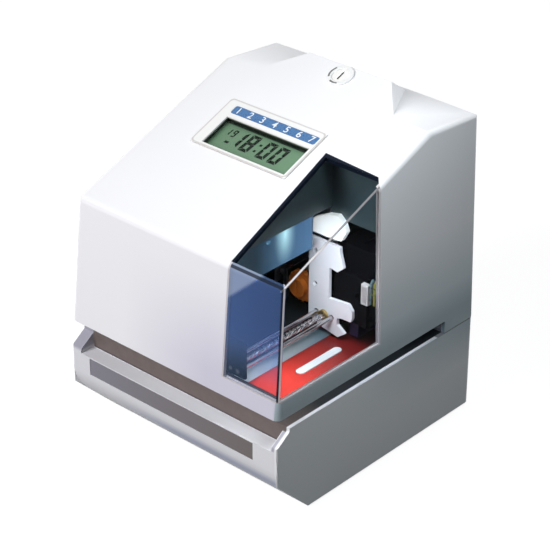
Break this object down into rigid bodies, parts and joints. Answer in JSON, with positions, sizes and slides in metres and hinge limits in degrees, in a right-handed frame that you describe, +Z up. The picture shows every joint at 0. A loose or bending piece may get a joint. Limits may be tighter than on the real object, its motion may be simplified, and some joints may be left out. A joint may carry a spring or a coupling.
{
  "type": "time stamp machine",
  "caption": "Desktop electronic time stamp: a low white base with a paper throat under a sloping lift-off cover that has a digit display and a clear corner window over the print carriage.",
  "frame": {"origin": "middle of the footprint, at the underside of the feet", "axes": "+X to the machine's right as the user faces it, +Y to the back, +Z up"},
  "size_m": [0.15, 0.16, 0.1892],
  "materials": {
    "white_plastic": "fine grained",
    "plate_plastic": "fine grained",
    "foot_rubber": "matt",
    "screw_steel": "zinc plated",
    "grey_strip": "satin",
    "label": "printed film",
    "platen_rubber": "matt",
    "sheet_steel": "satin",
    "rod_steel": "polished",
    "motor_metal": "satin",
    "board": "solder mask",
    "chips": "moulded",
    "laminated_core": "varnished",
    "battery_sleeve": "shrink film",
    "black_plastic": "moulded",
    "white_moulding": "moulded",
    "gear_plastic": "moulded",
    "brass": "machined",
    "ribbon_cloth": "inked",
    "pin_steel": "ground",
    "orange_plastic": "moulded",
    "lcd_glass": "green panel",
    "clear_window": "clear",
    "bezel_plastic": "fine grained",
    "blue_strip": "printed film",
    "dark_plastic": "satin",
    "diffuser": "translucent",
    "lamp_white": "moulded",
    "lock_metal": "nickel plated"
  },
  "bodies": {
    "base": {"base_tub": "white_plastic", "bottom_plate": "plate_plastic", "feet": "foot_rubber", "base_screws": "screw_steel", "lip_inlay": "grey_strip", "position_label": "label", "platen": "platen_rubber", "chassis": "sheet_steel", "chassis_screws": "screw_steel", "guide_rods": "rod_steel", "motor": "motor_metal", "lock_catch": "sheet_steel", "trigger_bracket": "sheet_steel", "lamp_arm": "sheet_steel", "lamp": "lamp_white", "display_board": "board", "lcd_panel": "lcd_glass", "switch_bodies": "chips", "main_board": "board", "board_parts": "chips", "transformer": "laminated_core", "battery_pack": "battery_sleeve", "power_inlet": "black_plastic"},
    "screw": {"lead_screw": "rod_steel", "screw_gear": "gear_plastic"},
    "pinion": {"motor_pinion": "brass", "motor_shaft": "rod_steel"},
    "carriage": {"carriage": "black_plastic", "drive_nut": "brass", "ribbon_bracket": "white_moulding", "print_head": "black_plastic", "ribbon_cassette": "black_plastic", "ribbon": "ribbon_cloth", "head_connector": "white_moulding"},
    "pins": {"print_pins": "pin_steel"},
    "knob": {"ribbon_knob": "orange_plastic"},
    "trigger": {"trigger_lever": "dark_plastic"},
    "button_left": {"button_left": "black_plastic"},
    "button_middle": {"button_middle": "black_plastic"},
    "button_right": {"button_right": "black_plastic"},
    "cover": {"cover_shell": "white_plastic", "window": "clear_window", "lcd_bezel": "bezel_plastic", "weekday_strip": "blue_strip", "lcd_lens": "clear_window", "light_shield": "dark_plastic", "reflector": "white_moulding", "lamp_diffuser": "diffuser", "lock_body": "lock_metal"},
    "lock": {"lock_barrel": "lock_metal", "lock_cam": "screw_steel"}
  },
  "joints": [
    {"name": "cover_lift", "type": "slide", "parent": "base", "child": "cover", "axis": [0, 0, 1], "range_m": [0, 0.2]},
    {"name": "lock_turn", "type": "hinge", "parent": "cover", "child": "lock", "pos_m": [0, 0.0525, 0.18556], "axis": [0, -0.3653, 0.9309], "range_deg": [0, 90]},
    {"name": "carriage_slide", "type": "slide", "parent": "base", "child": "carriage", "axis": [0, -1, 0], "range_m": [0, 0.056]},
    {"name": "screw_spin", "type": "hinge", "parent": "base", "child": "screw", "pos_m": [0.02755, -0.01, 0.069], "axis": [0, 1, 0], "range_deg": [0, 1682]},
    {"name": "pinion_spin", "type": "hinge", "parent": "base", "child": "pinion", "pos_m": [0.03886, 0.051, 0.08031], "axis": [0, 1, 0], "range_deg": [-2801, 0]},
    {"name": "knob_turn", "type": "hinge", "parent": "carriage", "child": "knob", "pos_m": [0.0084, 0.0095, 0.078], "axis": [0, -1, 0], "continuous": true},
    {"name": "pins_strike", "type": "slide", "parent": "carriage", "child": "pins", "axis": [0, 0, -1], "range_m": [0, 0.0008], "stiffness_N_per_m": 20, "springref_m": -0.0005},
    {"name": "trigger_swing", "type": "hinge", "parent": "base", "child": "trigger", "pos_m": [-0.013, 0.026, 0.073], "axis": [1, 0, 0], "range_deg": [0, 25], "stiffness_Nm_per_rad": 0.002, "springref_deg": -17.19},
    {"name": "button_left_press", "type": "slide", "parent": "base", "child": "button_left", "axis": [0, 0.3653, -0.9309], "range_m": [0, 0.0005], "stiffness_N_per_m": 60, "springref_m": -0.0005},
    {"name": "button_middle_press", "type": "slide", "parent": "base", "child": "button_middle", "axis": [0, 0.3653, -0.9309], "range_m": [0, 0.0005], "stiffness_N_per_m": 60, "springref_m": -0.0005},
    {"name": "button_right_press", "type": "slide", "parent": "base", "child": "button_right", "axis": [0, 0.3653, -0.9309], "range_m": [0, 0.0005], "stiffness_N_per_m": 60, "springref_m": -0.0005}
  ],
  "couplings": [
    {"joint": "screw_spin", "follows": "carriage_slide", "rad_per_m": 523.6},
    {"joint": "pinion_spin", "follows": "carriage_slide", "rad_per_m": -872.66}
  ]
}
